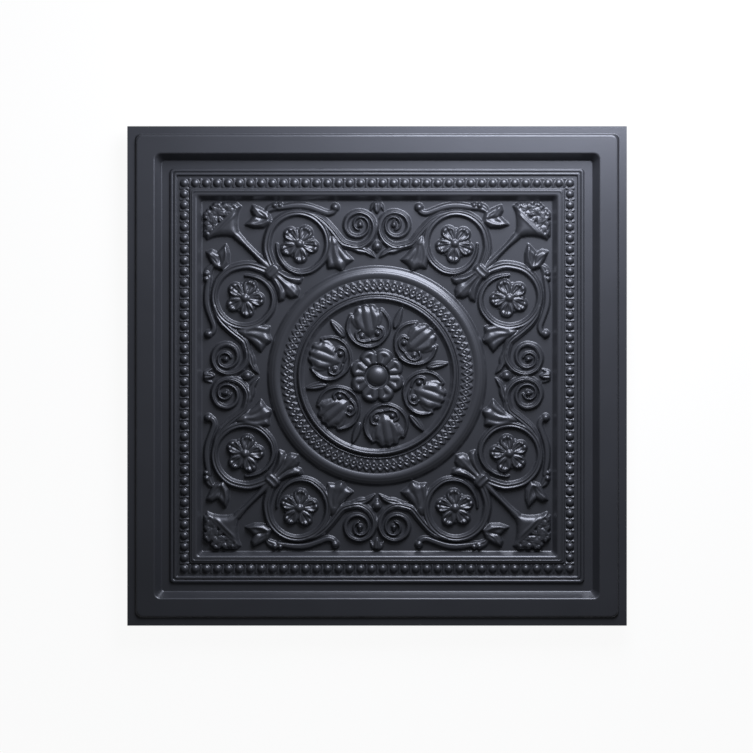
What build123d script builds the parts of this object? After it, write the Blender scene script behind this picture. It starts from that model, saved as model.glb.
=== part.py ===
"""A square coffered ceiling tile, vacuum formed from one sheet of plastic.

The tile lies on its back with its face up: +Z points out of the face, and the origin is under the middle
of the tile, on the flat back of the sunk field.  A formed sheet follows one relief on both sides, so the
face and the back have the same shape, one sheet thickness apart.  Every form here is therefore made by a
function of an inset: with no inset it is the face, and with the sheet's thickness as inset it is the back.
The tile is what is left when the back is taken away from the face.
"""
import math
import os

from build123d import *

# Driving dimensions, in millimetres

TILE_SIDE = 603.0
SHEET = 0.8

# Frame, from the tile's edge inwards: width of each strip
LIP_WIDTH = 9.2
BAND_WIDTH = 23.5
COFFER_WALL_RUN = 8.1
LEDGE_WIDTH = 10.0
RIDGE_WIDTH = 4.3
RIDGE_COUNT = 2
RIDGE_FACETS = 6
CHANNEL_MARGIN = 2.1
CHANNEL_WIDTH = 13.1
RIM_WIDTH = 8.3
FIELD_WALL_RUN = 6.3

# Frame, heights of each strip above the one that is named
LEDGE_ABOVE_FIELD = 7.0
RIM_ABOVE_LEDGE = 2.0
COFFER_DEPTH = 15.0
BAND_ABOVE_LIP = 3.0

# Frame, corner radii, small corners that are cut at 45 degrees, and eased edges
BAND_CORNER = 7.0
COFFER_CORNER = 7.0
LEDGE_CORNER = 4.0
RIDGE_CUT = 2.5
RIM_CUT = 2.0
FIELD_CUT = 2.0
BAND_EASE = 1.8
COFFER_EASE = 1.5

# Bead row in the channel
BEAD_WIDTH = 9.2
BEAD_RISE = 3.2
BEAD_PITCHES_PER_SIDE = 35
BEAD_SIDES = 4
BEAD_SLOPE = 32.0

# Medallion, radii and heights above the field
MEDALLION_RADIUS = 133.0
ROLL_WIDTH = 15.0
ROLL_RISE = 7.0
TWIST_WIDTH = 19.0
TWIST_RISE = 6.0
MEDALLION_RIM_WIDTH = 11.0
MEDALLION_RIM_RISE = 8.5
PANEL_RISE = 4.0

# Medallion, boss, rosette and leaf cups, heights above the panel
BOSS_RADIUS = 12.5
BOSS_RISE = 6.0
BOSS_FLATS = 8
ROSETTE_RADIUS = 31.5
ROSETTE_RISE = 3.5
PETAL_COUNT = 8
ROSETTE_NOTCH = 23.0
PETAL_FIRST_ANGLE = 25.0
CUP_COUNT = 6
CUP_FIRST_ANGLE = 40.0
CUP_WALL_WIDTH = 7.5
CUP_WALL_RISE = 5.5
CUP_CURL_WIDTH = 5.5
CUP_CURL_RISE = 4.5
TONGUE_WIDTH = 20.0
TONGUE_RISE = 5.5

# Medallion, one side of a leaf cup that points along +X, and the leaves between the cups
CUP_WALL_SIDE = [(36.8, 7.0), (43.0, 17.5), (54.0, 25.0), (66.0, 25.0), (77.0, 20.0)]
CUP_CURL = [(46.0, 6.0), (52.0, 13.5), (61.0, 16.0), (68.5, 12.0)]
TONGUE_START = 42.0
TONGUE_END = 86.0
GAP_LEAF_START = 63.0
GAP_LEAF_WIDTH = 10.0

# Scroll rings, one in each eighth of the field, and the flower inside each
RING_ACROSS = 95.8
RING_OUT = 160.2
RING_RADIUS = 36.0
RING_FLATS = 16
STROKE_WIDTH = 9.5
STROKE_TOP_WIDTH = 3.5
STROKE_RISE = 5.0
FLOWER_RADIUS = 22.0
FLOWER_RISE = 3.5
FLOWER_PETALS = 5
FLOWER_FIRST_ANGLE = 48.0
FLOWER_NOTCH = 12.0
FLOWER_EYE_RADIUS = 6.5
FLOWER_EYE_RISE = 5.0

# Small volutes, in pairs at the middle of each side: the stem that leads to one, and its winding, at
# each of these angles this far from the volute's centre
VOLUTE_ACROSS = 21.6
VOLUTE_OUT = 181.0
VOLUTE_EYE_RADIUS = 5.0
VOLUTE_STROKE = 6.5
STEM_POINTS = [(74.0, 193.5), (64.5, 187.0), (56.0, 178.0), (44.5, 163.5)]
WINDING = [
    (-88, 24.5),
    (-122, 21.3),
    (-156, 19.0),
    (-192, 18.2),
    (-230, 17.8),
    (-270, 17.6),
    (-312, 17.4),
    (-355, 16.6),
    (-400, 14.9),
    (-450, 13.0),
    (-510, 10.8),
    (-575, 9.0),
]

# Leaves of one eighth of the field, by the points of their outline or by start, end and width
LEAF_RISE = 4.0
LINK_LEAF = [
    (58.0, 177.0),
    (49.0, 171.0),
    (46.0, 163.0),
    (38.0, 150.0),
    (28.5, 142.0),
    (39.0, 141.0),
    (37.5, 131.0),
    (50.0, 142.0),
    (57.5, 132.0),
    (62.0, 160.0),
]
CREST_LEAF = [
    (125.0, 184.0),
    (140.0, 180.0),
    (158.0, 182.5),
    (152.0, 191.0),
    (157.0, 199.0),
    (148.0, 199.0),
    (147.5, 207.0),
    (134.0, 202.0),
    (124.0, 195.0),
]
TENDRIL = [(114.0, 201.5), (98.0, 204.5), (82.0, 203.0), (62.0, 197.0), (51.0, 204.0)]
TENDRIL_WIDTH = 6.5
UNDER_LEAF = ((36.0, 160.0), (2.0, 140.5), 11.0)

# Bud and stud on the middle line of each side
BUD = ((0.0, 211.0), (0.0, 196.0), 15.0)
STUD_OUT = 157.5
STUD_RADIUS = 5.5

# Corner sprays, measured along the diagonal from the tile's centre
KNOT_OUT = 178.0
KNOT_RADIUS = 9.5
HUSK_TIP = 135.5
HUSK_SIDE = [(148.0, 9.0), (147.3, 20.0), (162.0, 9.5), (178.0, 6.5)]
STEM_WIDTH = 7.0
TRUMPET_START = 236.0
TRUMPET_MOUTH = 264.0
TRUMPET_END = 291.0
TRUMPET_WIDTH = 53.0
TRUMPET_LIP_WIDTH = 18.0

# Sides of a raised form lean in by this many degrees; its foot reaches this far into the sheet
DRAFT = 20.0
ROOT = 3.0

# Worked out from the sizes above: distances from the tile's edge
BAND_END = LIP_WIDTH + BAND_WIDTH
LEDGE_START = BAND_END + COFFER_WALL_RUN
RIDGE_START = LEDGE_START + LEDGE_WIDTH
CHANNEL_START = RIDGE_START + RIDGE_COUNT * RIDGE_WIDTH + CHANNEL_MARGIN
CHANNEL_END = CHANNEL_START + CHANNEL_WIDTH
RIM_END = CHANNEL_END + RIM_WIDTH
FIELD_START = RIM_END + FIELD_WALL_RUN
BEAD_LINE = CHANNEL_START + CHANNEL_WIDTH / 2

# Worked out from the sizes above: heights above the field
RIM_RISE = LEDGE_ABOVE_FIELD + RIM_ABOVE_LEDGE
BAND_RISE = LEDGE_ABOVE_FIELD + COFFER_DEPTH
LIP_RISE = BAND_RISE - BAND_ABOVE_LIP


def level(rise, inset):
    """Return the height of a surface that stands `rise` above the field."""
    return SHEET + rise - inset


def square_side(from_edge):
    """Return the side of the centred square that runs `from_edge` inside the tile's edge."""
    return TILE_SIDE - 2 * from_edge


def coffer_pocket(inset):
    """Return the space inside the coffer wall, down to the ledge."""
    sections = [
        (BAND_END - COFFER_EASE, COFFER_CORNER + COFFER_EASE, BAND_RISE + COFFER_EASE),
        (BAND_END + COFFER_EASE, COFFER_CORNER, BAND_RISE - COFFER_EASE),
        (LEDGE_START, LEDGE_CORNER, LEDGE_ABOVE_FIELD),
    ]
    with BuildPart() as hollow:
        for from_edge, corner_radius, rise in sections:
            side = square_side(from_edge) + 2 * inset
            with BuildSketch(Plane.XY.offset(level(rise, inset))):
                RectangleRounded(side, side, corner_radius + inset)
        loft(ruled=True)
    return hollow.part


def cut_square(half, cut):
    """Return the corner points of a square that has its corners cut at 45 degrees."""
    short = half - cut
    return [
        (short, half),
        (-short, half),
        (-half, short),
        (-half, -short),
        (-short, -half),
        (short, -half),
        (half, -short),
        (half, short),
    ]


def field_pocket(inset):
    """Return the space inside the field's wall, down to the field."""
    with BuildPart() as hollow:
        for from_edge, rise in ((RIM_END - COFFER_EASE, RIM_RISE + COFFER_EASE), (FIELD_START, 0)):
            with BuildSketch(Plane.XY.offset(level(rise, inset))):
                Polygon(*cut_square(square_side(from_edge) / 2 + inset, FIELD_CUT), align=None)
        loft(ruled=True)
    return hollow.part


def ridge(from_edge, inset):
    """Return one round-backed ridge that runs round the ledge."""
    points = cut_square(square_side(from_edge) / 2, RIDGE_CUT)
    top = level(LEDGE_ABOVE_FIELD, 0)
    with BuildPart() as bar:
        with BuildLine(Plane.XY.offset(top)) as path:
            Polyline(*points, close=True)
        with BuildSketch(Plane(origin=(0, points[0][1], top), x_dir=(0, 1, 0), z_dir=(-1, 0, 0))):
            RegularPolygon(RIDGE_WIDTH / 2 - inset, RIDGE_FACETS)
        sweep(path=path.wires()[0], transition=Transition.RIGHT)
    return bar.part


def frame_form(inset):
    """Return the square frame: lip, band, coffer wall, ledge with its ridges, rim and field wall."""
    lip_level = level(LIP_RISE, inset)
    ledge_level = level(LEDGE_ABOVE_FIELD, inset)
    ridges = [
        ridge(RIDGE_START + (index + 0.5) * RIDGE_WIDTH, inset) for index in range(RIDGE_COUNT)
    ]
    with BuildPart() as frame:
        with BuildSketch(Plane.XY.offset(-ROOT - inset)):
            Rectangle(TILE_SIDE + 2 * inset, TILE_SIDE + 2 * inset)
        extrude(amount=lip_level + ROOT + inset)
        band_side = square_side(LIP_WIDTH + inset)
        with BuildSketch(Plane.XY.offset(lip_level - ROOT)):
            RectangleRounded(band_side, band_side, BAND_CORNER - inset)
        extrude(amount=ROOT + BAND_ABOVE_LIP)
        chamfer(frame.edges().group_by(Axis.Z)[-1], BAND_EASE)
        add(coffer_pocket(inset), mode=Mode.SUBTRACT)
        with BuildSketch(Plane.XY.offset(ledge_level - ROOT)):
            Polygon(*cut_square(square_side(CHANNEL_END + inset) / 2, RIM_CUT), align=None)
        extrude(amount=ROOT + RIM_ABOVE_LEDGE)
        add(ridges)
        add(field_pocket(inset), mode=Mode.SUBTRACT)
    return frame.part


def bead_row():
    """Return the row of beads that fills the channel all round."""
    pitch = square_side(BEAD_LINE) / BEAD_PITCHES_PER_SIDE
    half = square_side(BEAD_LINE) / 2
    steps = [index * pitch - half for index in range(BEAD_PITCHES_PER_SIDE)]
    places = []
    for step in steps:
        places += [(step, -half), (half, step), (-step, half), (-half, -step)]
    with BuildPart() as beads:
        with BuildSketch(Plane.XY.offset(level(LEDGE_ABOVE_FIELD, 0) - SHEET / 2)):
            with Locations(*places):
                RegularPolygon(BEAD_WIDTH / 2, BEAD_SIDES, major_radius=False, rotation=180 / BEAD_SIDES)
        extrude(amount=BEAD_RISE + SHEET / 2, taper=BEAD_SLOPE)
    return beads.part


def medallion_disc(inset):
    """Return the turned part of the medallion: roll, twist band, rim and sunk panel."""
    roll_start = MEDALLION_RADIUS - ROLL_WIDTH
    rim_start = roll_start - TWIST_WIDTH
    panel_end = rim_start - MEDALLION_RIM_WIDTH
    roll = level(ROLL_RISE, inset)
    twist = level(TWIST_RISE, inset)
    rim = level(MEDALLION_RIM_RISE, inset)
    panel = level(PANEL_RISE, inset)
    foot = -ROOT - inset
    outer = MEDALLION_RADIUS - inset
    profile = [
        (0, foot),
        (outer, foot),
        (outer, level(0, inset)),
        (outer - ROLL_WIDTH * 0.27, level(ROLL_RISE * 0.65, inset)),
        (outer - ROLL_WIDTH * 0.70, roll),
        (roll_start, twist),
        (rim_start, twist),
        (rim_start - MEDALLION_RIM_WIDTH * 0.45, rim),
        (panel_end, panel),
        (0, panel),
    ]
    with BuildPart() as disc:
        with BuildSketch(Plane.XZ):
            Polygon(*profile, align=None)
        revolve(axis=Axis.Z)
    return disc.part


def raised(outline, rise, inset, base=0.0):
    """Return the outline raised to `rise` above `base`, with sides that lean in by the draft."""
    low = level(base, inset) - ROOT / 2
    height = rise + ROOT / 2
    lean = height * math.tan(math.radians(DRAFT))
    with BuildPart() as form:
        for shift, lift in ((inset, 0), (inset + lean, height)):
            with BuildSketch(Plane.XY.offset(low + lift)):
                add(outline)
                if shift > 0:
                    offset(amount=-shift, kind=Kind.INTERSECTION, mode=Mode.REPLACE)
        loft(ruled=True)
    return form.part


def disc_outline(radius, flats, place=(0, 0)):
    """Return a round outline turned in flats."""
    with BuildSketch() as outline:
        with Locations(place):
            RegularPolygon(radius, flats)
    return outline.sketch


def boss(radius, rise, inset, base=0.0, place=(0, 0)):
    """Return a round boss that rises `rise` above `base`."""
    return raised(disc_outline(radius, BOSS_FLATS, place), rise, inset, base)


def joined(forms):
    """Return one form made of overlapping ones."""
    with BuildPart() as whole:
        for form in forms:
            add(form)
    return whole.part


def leaf(start, end, width, shoulder=0.4):
    """Return a pointed leaf outline from start to end, widest at `shoulder` of its length."""
    along = Vector(*end) - Vector(*start)
    side = Vector(-along.Y, along.X).normalized() * (width / 2)
    middle = Vector(*start) + along * shoulder
    with BuildSketch() as outline:
        with BuildLine():
            Polyline(Vector(*start), middle - side, Vector(*end), middle + side, close=True)
        make_face()
    return outline.sketch


def frond(points):
    """Return the outline of a lobed leaf, through its tips and notches in order."""
    with BuildSketch() as outline:
        with BuildLine():
            Polyline(*points, close=True)
        make_face()
    return outline.sketch


def blossom(tip, notch, petals, bluntness, first_angle):
    """Return the outline of a flower: each petal has a blunt tip and a notch after it."""
    pitch = 360 / petals
    points = []
    for index in range(petals):
        middle = first_angle + index * pitch
        for reach, angle in (
            (tip, middle - bluntness * pitch),
            (tip, middle + bluntness * pitch),
            (notch, middle + pitch / 2),
        ):
            points.append((reach * math.cos(math.radians(angle)), reach * math.sin(math.radians(angle))))
    with BuildSketch() as outline:
        with BuildLine():
            Polyline(*points, close=True)
        make_face()
    return outline.sketch


def raised_blossom(tip, notch, petals, bluntness, rise, inset, base=0.0, first_angle=0.0):
    """Return a flower raised to `rise` above `base`, with sides that lean in by the draft."""
    low = level(base, inset) - ROOT / 2
    height = rise + ROOT / 2
    lean = height * math.tan(math.radians(DRAFT))
    with BuildPart() as form:
        for shift, lift in ((inset, 0), (inset + lean, height)):
            with BuildSketch(Plane.XY.offset(low + lift)):
                add(blossom(tip - shift, notch - shift, petals, bluntness, first_angle))
        loft(ruled=True)
    return form.part


def rosette(inset):
    """Return the petalled rosette with its boss at the medallion's centre."""
    flower = raised_blossom(
        ROSETTE_RADIUS, ROSETTE_NOTCH, PETAL_COUNT, 0.28, ROSETTE_RISE, inset, PANEL_RISE, PETAL_FIRST_ANGLE
    )
    return joined([flower, boss(BOSS_RADIUS, BOSS_RISE, inset, PANEL_RISE)])


def tongue(inset):
    """Return the tongue in the middle of a leaf cup that points along +X."""
    outline = leaf((TONGUE_START, 0), (TONGUE_END, 0), TONGUE_WIDTH, 0.7)
    return raised(outline, TONGUE_RISE, inset, PANEL_RISE)


def across_x(points):
    """Return the points mirrored over the X axis."""
    return [(x, -y) for x, y in points]


def leaf_cup():
    """Return the wall and curls of a leaf cup that points along +X, and the leaf that follows it."""
    wall = across_x(CUP_WALL_SIDE)[::-1] + CUP_WALL_SIDE
    turn = 180 / CUP_COUNT
    gap_leaf = raised(leaf((GAP_LEAF_START, 0), (TONGUE_END, 0), GAP_LEAF_WIDTH), LEAF_RISE, 0, PANEL_RISE)
    return [
        stroke(wall, CUP_WALL_WIDTH, CUP_WALL_RISE, PANEL_RISE),
        stroke(CUP_CURL, CUP_CURL_WIDTH, CUP_CURL_RISE, PANEL_RISE),
        stroke(across_x(CUP_CURL), CUP_CURL_WIDTH, CUP_CURL_RISE, PANEL_RISE),
        gap_leaf.rotate(Axis.Z, turn),
    ]


def stroke_ring(inset):
    """Return a closed ring of scroll work, turned in flats."""
    half = STROKE_WIDTH / 2
    top = STROKE_TOP_WIDTH / 2
    low = level(0, inset) - ROOT / 2
    high = level(STROKE_RISE, inset)
    rings = []
    for radius, side in ((RING_RADIUS, 1), (RING_RADIUS, -1)):
        with BuildPart() as wall:
            with BuildSketch(Plane.XY.offset(low)):
                RegularPolygon(radius + side * (half - inset), RING_FLATS)
            with BuildSketch(Plane.XY.offset(high)):
                RegularPolygon(radius + side * (top - inset / 2), RING_FLATS)
            loft(ruled=True)
        rings.append(wall.part)
    with BuildPart() as ring:
        add(rings[0])
        add(rings[1], mode=Mode.SUBTRACT)
    return ring.part


def flower(inset):
    """Return the five-petalled flower that stands inside a scroll ring."""
    return raised_blossom(
        FLOWER_RADIUS, FLOWER_NOTCH, FLOWER_PETALS, 0.14, FLOWER_RISE, inset, first_angle=FLOWER_FIRST_ANGLE
    )


def stroke(points, width, rise=STROKE_RISE, base=0.0):
    """Return a stroke of scroll work with sloping sides along flat points."""
    half = width / 2
    top = half - rise * math.tan(math.radians(DRAFT))
    low = level(base, 0) - ROOT / 2
    high = level(base + rise, 0)
    with BuildLine() as line:
        Polyline(*points)
    path = line.wires()[0]
    along = path % 0
    section = Plane(origin=path @ 0, x_dir=Vector(0, 0, 1).cross(along), z_dir=along)
    with BuildPart() as bar:
        with BuildSketch(section):
            Polygon((-half, low), (half, low), (top, high), (-top, high), align=None)
        sweep(path=path, transition=Transition.RIGHT)
    return bar.part


def volute():
    """Return the stem that leaves a scroll ring and winds up into a small volute, with its eye."""
    points = list(STEM_POINTS)
    for degrees, radius in WINDING:
        angle = math.radians(degrees)
        points.append((VOLUTE_ACROSS + radius * math.cos(angle), VOLUTE_OUT + radius * math.sin(angle)))
    eye = boss(VOLUTE_EYE_RADIUS, STROKE_RISE, 0, place=(VOLUTE_ACROSS, VOLUTE_OUT))
    return [stroke(points, VOLUTE_STROKE), eye]


def ring_and_flower(inset):
    """Return the scroll ring of one eighth of the field, with its flower."""
    return joined([stroke_ring(inset), flower(inset)]).moved(Location((RING_ACROSS, RING_OUT, 0)))


def half_side_leaves():
    """Return the leaves and the flower's eye of one eighth of the field, right of the +Y middle line."""
    outlines = [frond(LINK_LEAF), frond(CREST_LEAF), leaf(*UNDER_LEAF)]
    eye = boss(FLOWER_EYE_RADIUS, FLOWER_EYE_RISE, 0, place=(RING_ACROSS, RING_OUT))
    tendril = stroke(TENDRIL, TENDRIL_WIDTH, LEAF_RISE)
    return [raised(outline, LEAF_RISE, 0) for outline in outlines] + [tendril, eye]


def middle_details():
    """Return the bud and the stud on the +Y middle line."""
    return [raised(leaf(*BUD), LEAF_RISE, 0), boss(STUD_RADIUS, LEAF_RISE, 0, place=(0, STUD_OUT))]


def corner(inset):
    """Return the stem, knot and trumpet flower of one corner, laid out along +X."""
    mouth = TRUMPET_WIDTH / 2
    lip = TRUMPET_LIP_WIDTH / 2
    neck = STEM_WIDTH / 2
    with BuildSketch() as spray:
        with BuildLine():
            Polyline(
                (KNOT_OUT, -neck),
                (TRUMPET_START, -neck),
                (TRUMPET_MOUTH, -mouth),
                (TRUMPET_END, -lip),
                (TRUMPET_END, lip),
                (TRUMPET_MOUTH, mouth),
                (TRUMPET_START, neck),
                (KNOT_OUT, neck),
                close=True,
            )
        make_face()
    return [raised(spray.sketch, LEAF_RISE, inset), boss(KNOT_RADIUS, STROKE_RISE, inset, place=(KNOT_OUT, 0))]


def husk():
    """Return the three-lobed husk of one corner, laid out along +X."""
    outline = frond([(HUSK_TIP, 0)] + HUSK_SIDE + across_x(HUSK_SIDE)[::-1])
    return raised(outline, LEAF_RISE, 0)


def relief(inset):
    """Return the main forms, which show on the face and on the back alike, as one block."""
    ring = ring_and_flower(inset)
    cup_tongue = tongue(inset)
    spray = joined(corner(inset))
    with BuildPart() as block:
        add(frame_form(inset))
        add(medallion_disc(inset))
        add(rosette(inset))
        with PolarLocations(0, CUP_COUNT, start_angle=CUP_FIRST_ANGLE):
            add(cup_tongue)
        with PolarLocations(0, 4):
            add(ring)
            add(mirror(ring, about=Plane.YZ))
        with PolarLocations(0, 4, start_angle=45):
            add(spray)
    return block.part


face = relief(0)
back = relief(SHEET)
side_details = joined(volute() + half_side_leaves())
side_middle = joined(middle_details())
corner_details = husk()
cup_details = joined(leaf_cup())
beads = bead_row()

with BuildPart() as ceiling_tile:
    add(face)
    with PolarLocations(0, 4):
        add(side_details)
        add(mirror(side_details, about=Plane.YZ))
        add(side_middle)
    with PolarLocations(0, 4, start_angle=45):
        add(corner_details)
    with PolarLocations(0, CUP_COUNT, start_angle=CUP_FIRST_ANGLE):
        add(cup_details)
    add(beads)
    add(back, mode=Mode.SUBTRACT)

ceiling_tile.part.label = "ceiling_tile"
os.makedirs("parts", exist_ok=True)
export_step(ceiling_tile.part, "parts/ceiling_tile.step")
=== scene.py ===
# %% [markdown]
# # A black formed ceiling tile
# The object is a square ceiling tile of black plastic. It is drawn from one thin warm sheet over a mould, so
# every ornament is a hill on the face and a hollow behind it. This lesson builds the looks of that sheet
# round a fixed model of the same tile. The fixed model gives the place and the outer size, and the new
# surfaces stay inside it.

# %% Load the fixed model
import math
from functools import partial

import bpy
import mathutils
import numpy as np
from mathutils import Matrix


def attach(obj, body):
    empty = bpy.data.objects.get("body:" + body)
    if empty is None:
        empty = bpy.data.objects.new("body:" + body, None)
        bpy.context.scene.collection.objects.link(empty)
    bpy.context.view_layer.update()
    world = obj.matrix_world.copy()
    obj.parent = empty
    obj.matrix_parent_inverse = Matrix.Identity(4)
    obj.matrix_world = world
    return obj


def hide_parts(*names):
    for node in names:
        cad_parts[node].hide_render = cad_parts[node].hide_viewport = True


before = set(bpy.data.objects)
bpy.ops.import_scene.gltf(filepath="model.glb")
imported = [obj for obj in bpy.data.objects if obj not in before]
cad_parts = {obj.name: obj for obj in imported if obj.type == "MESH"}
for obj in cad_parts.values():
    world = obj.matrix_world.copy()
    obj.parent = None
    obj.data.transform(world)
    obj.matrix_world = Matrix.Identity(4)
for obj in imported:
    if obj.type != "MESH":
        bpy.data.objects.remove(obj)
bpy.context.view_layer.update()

# %% [markdown]
# ## One relief for both sides
# The ornament is drawn as a height above the flat ground, in millimetres, on a square raster of points.
# That is how the mould of such a tile is carved: each form is a small hill, and where hills meet, the
# higher one wins. Sculpting by hand would do as well, but a raster of heights can be softened evenly, the
# way a warm sheet rounds every edge of its mould, and the same raster serves the back of the sheet.

# %% The raster and its softening
MM = 0.001
RASTER_STEP = 0.5


def soften(z, sigma):
    """Each height becomes the mean of its neighbours, weighted by a bell curve sigma millimetres wide,
    first along the rows and then along the columns."""
    reach = int(np.ceil(3 * sigma / RASTER_STEP))
    weight = np.exp(-0.5 * (np.arange(-reach, reach + 1) * RASTER_STEP / sigma) ** 2)
    weight /= weight.sum()
    wide = np.pad(z, reach, mode="edge")
    rows = sum(w * wide[i:i + z.shape[0], :] for i, w in enumerate(weight))
    return sum(w * rows[:, i:i + z.shape[1]] for i, w in enumerate(weight))


def lowest_near(z, reach):
    """The lowest height within a square of that many raster points on each side."""
    for axis in (0, 1):
        z = np.min([np.roll(z, shift, axis=axis) for shift in range(-reach, reach + 1)], axis=0)
    return z


print("raster points lie", RASTER_STEP, "mm apart")

# %% [markdown]
# ## Lines through a few points
# Every stem, leaf and curl follows a line, and the plan gives it as a handful of points. A curve object
# could carry it, but each of its handles would need setting by hand. Here a cubic is passed through the
# points instead, and a spiral is given as angles and radii about its middle.

# %% Smooth lines
LINE_STEP = 0.7
SAMPLES_PER_STRETCH = 60


def smooth_line(points):
    """Evenly spaced points along a smooth line through the given ones: each stretch is a cubic whose slope
    at a point is half the way from the point before it to the point after it."""
    p = np.asarray(points, float)
    ends = np.vstack([2 * p[0] - p[1], p, 2 * p[-1] - p[-2]])
    t = np.linspace(0, len(p) - 1, SAMPLES_PER_STRETCH * (len(p) - 1) + 1)
    k = np.minimum(t.astype(int), len(p) - 2)
    f = (t - k)[:, None]
    a, b, c, d = ends[k], ends[k + 1], ends[k + 2], ends[k + 3]
    line = 0.5 * (2 * b + (c - a) * f + (2 * a - 5 * b + 4 * c - d) * f**2 + (3 * b - a - 3 * c + d) * f**3)
    run = np.r_[0, np.cumsum(np.hypot(*np.diff(line, axis=0).T))]
    even = np.linspace(0, run[-1], max(3, int(run[-1] / LINE_STEP)))
    return np.c_[np.interp(even, run, line[:, 0]), np.interp(even, run, line[:, 1])]


def around(centre, table):
    """Points about a centre, from pairs of angle in degrees and radius."""
    turn = np.radians([angle for angle, _ in table])
    reach = np.array([radius for _, radius in table])
    return np.c_[centre[0] + reach * np.cos(turn), centre[1] + reach * np.sin(turn)]


print("lines have a point every", LINE_STEP, "mm")

# %% [markdown]
# ## The carver's bench
# A form covers only a small part of the raster, so each tool works on the window round its form. Most forms
# follow a line, and their tools need to know how far along the line each point lies, and how far beside it.

# %% A raster that forms are carved into
CLEAR = 2
FAR_AWAY, NEXT_TO_NOTHING = 1e9, 1e-9


class Relief:
    """Heights in millimetres over a square of points."""

    def __init__(self, low, high):
        self.axis = np.arange(low, high + RASTER_STEP / 2, RASTER_STEP)
        self.x, self.y = np.meshgrid(self.axis, self.axis)
        self.z = np.zeros_like(self.x)

    def window(self, low, high):
        """The part of the raster between two corners."""
        rows = np.searchsorted(self.axis, (low[1], high[1]))
        columns = np.searchsorted(self.axis, (low[0], high[0]))
        return slice(*rows), slice(*columns)

    def top(self, part, z):
        """Each height becomes the larger of what is there and what is added."""
        self.z[part] = np.maximum(self.z[part], z)

    def beside(self, line, reach):
        """For the points near a line: the share of the way along, the distance to the left of it, and how
        far a point lies past the nearest point of the line."""
        part = self.window(line.min(0) - reach, line.max(0) + reach)
        x, y = self.x[part], self.y[part]
        best = np.full(x.shape, FAR_AWAY)
        which = np.zeros(x.shape, int)
        for k, (px, py) in enumerate(line):
            d = (x - px) ** 2 + (y - py) ** 2
            closer = d < best
            best[closer] = d[closer]
            which[closer] = k
        way = np.gradient(line, axis=0)
        way /= np.hypot(*way.T)[:, None] + NEXT_TO_NOTHING
        dx, dy = x - line[which, 0], y - line[which, 1]
        left = way[which, 0] * dy - way[which, 1] * dx
        past = way[which, 0] * dx + way[which, 1] * dy
        return part, which / (len(line) - 1), left, past


print("each form is worked out to", CLEAR, "mm past its edge")

# %% [markdown]
# ## Tools for stems and leaves
# A stem is a round-backed bar with flutes along it, and a leaf swells and tapers along its spine, with a
# crease in the middle. On top of both, a narrow rib or crease can follow a line of its own.

# %% Stroke, leaf and rib
def stroke(relief, points, half_widths, height, flutes=2, depth=0.3):
    """A round-backed bar along a line. Its height is the height of half an ellipse, less a share that
    swings as a cosine across it, which gives the flutes."""
    part, share, left, past = relief.beside(smooth_line(points), max(half_widths) + CLEAR)
    half = np.interp(share, np.linspace(0, 1, len(half_widths)), half_widths)
    body = np.clip(1 - (left**2 + past**2) / half**2, 0, 1) ** 0.4
    across = np.clip(np.abs(left) / half, 0, 1)
    if flutes:
        body *= 1 - depth * (0.5 + 0.5 * np.cos(np.pi * flutes * across)) * (across < 0.95)
    relief.top(part, height * body)


def leaf(relief, points, width, height, lobes=0, lobe_depth=0.25, crease=0.3, belly=0.42):
    """A leaf along its spine. The half width swells as a sine to the belly and back, notched by the
    size of a faster sine for the lobes, and a narrow bell curve along the middle cuts the crease."""
    part, share, left, past = relief.beside(smooth_line(points), width / 2 + CLEAR)
    swell = np.clip(np.sin(np.pi * share ** (np.log(0.5) / np.log(belly))), 0, 1)
    half = width / 2 * swell**0.75
    if lobes:
        half *= 1 - lobe_depth + lobe_depth * np.abs(np.sin(np.pi * lobes * share)) ** 0.6
    half = np.maximum(half, 0.3)
    beyond = np.where((share <= 0) | (share >= 1), past, 0)
    body = np.clip(1 - (left**2 + beyond**2) / half**2, 0, 1) ** 0.55
    across = np.clip(np.abs(left) / half, 0, 1)
    body *= 1 - crease * np.exp(-((across / 0.22) ** 2))
    relief.top(part, height * body)


def rib(relief, points, width, height, ground=1.0):
    """A rib along a line, as a bell curve of the distance from it, over forms that already stand higher
    than the ground. A height below nothing makes it a crease."""
    part, share, left, past = relief.beside(smooth_line(points), 2 * width)
    fade = np.sin(np.pi * np.clip(share, 0, 1)) ** 0.4
    bell = np.exp(-(left**2 + past**2) / width**2) * fade
    there = relief.z[part]
    relief.z[part] = np.maximum(there + np.where(there > ground, height * bell, 0), 0)


# %% [markdown]
# ## Tools for round and flat forms
# Balls and flowers need only the distance and the angle from their middle. A plate is any other form, such
# as a husk or a bell: its outline is given, and its height climbs from the outline inwards, as a pillow does.

# %% Dome, ball, flower and plate
def dome(distance, half_width, height):
    """Half an ellipse over the distance from its middle."""
    return height * np.sqrt(np.clip(1 - (distance / half_width) ** 2, 0, 1))


def climb(distance, width):
    """A quarter of an ellipse over the distance from an edge: nothing there, and one a width further in."""
    return np.sqrt(1 - (1 - np.clip(distance / width, 0, 1)) ** 2)


def ball(relief, centre, radius, height):
    """A dome round a centre."""
    centre = np.asarray(centre, float)
    part = relief.window(centre - radius - CLEAR, centre + radius + CLEAR)
    far = np.hypot(relief.x[part] - centre[0], relief.y[part] - centre[1])
    relief.top(part, dome(far, radius, height))


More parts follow.
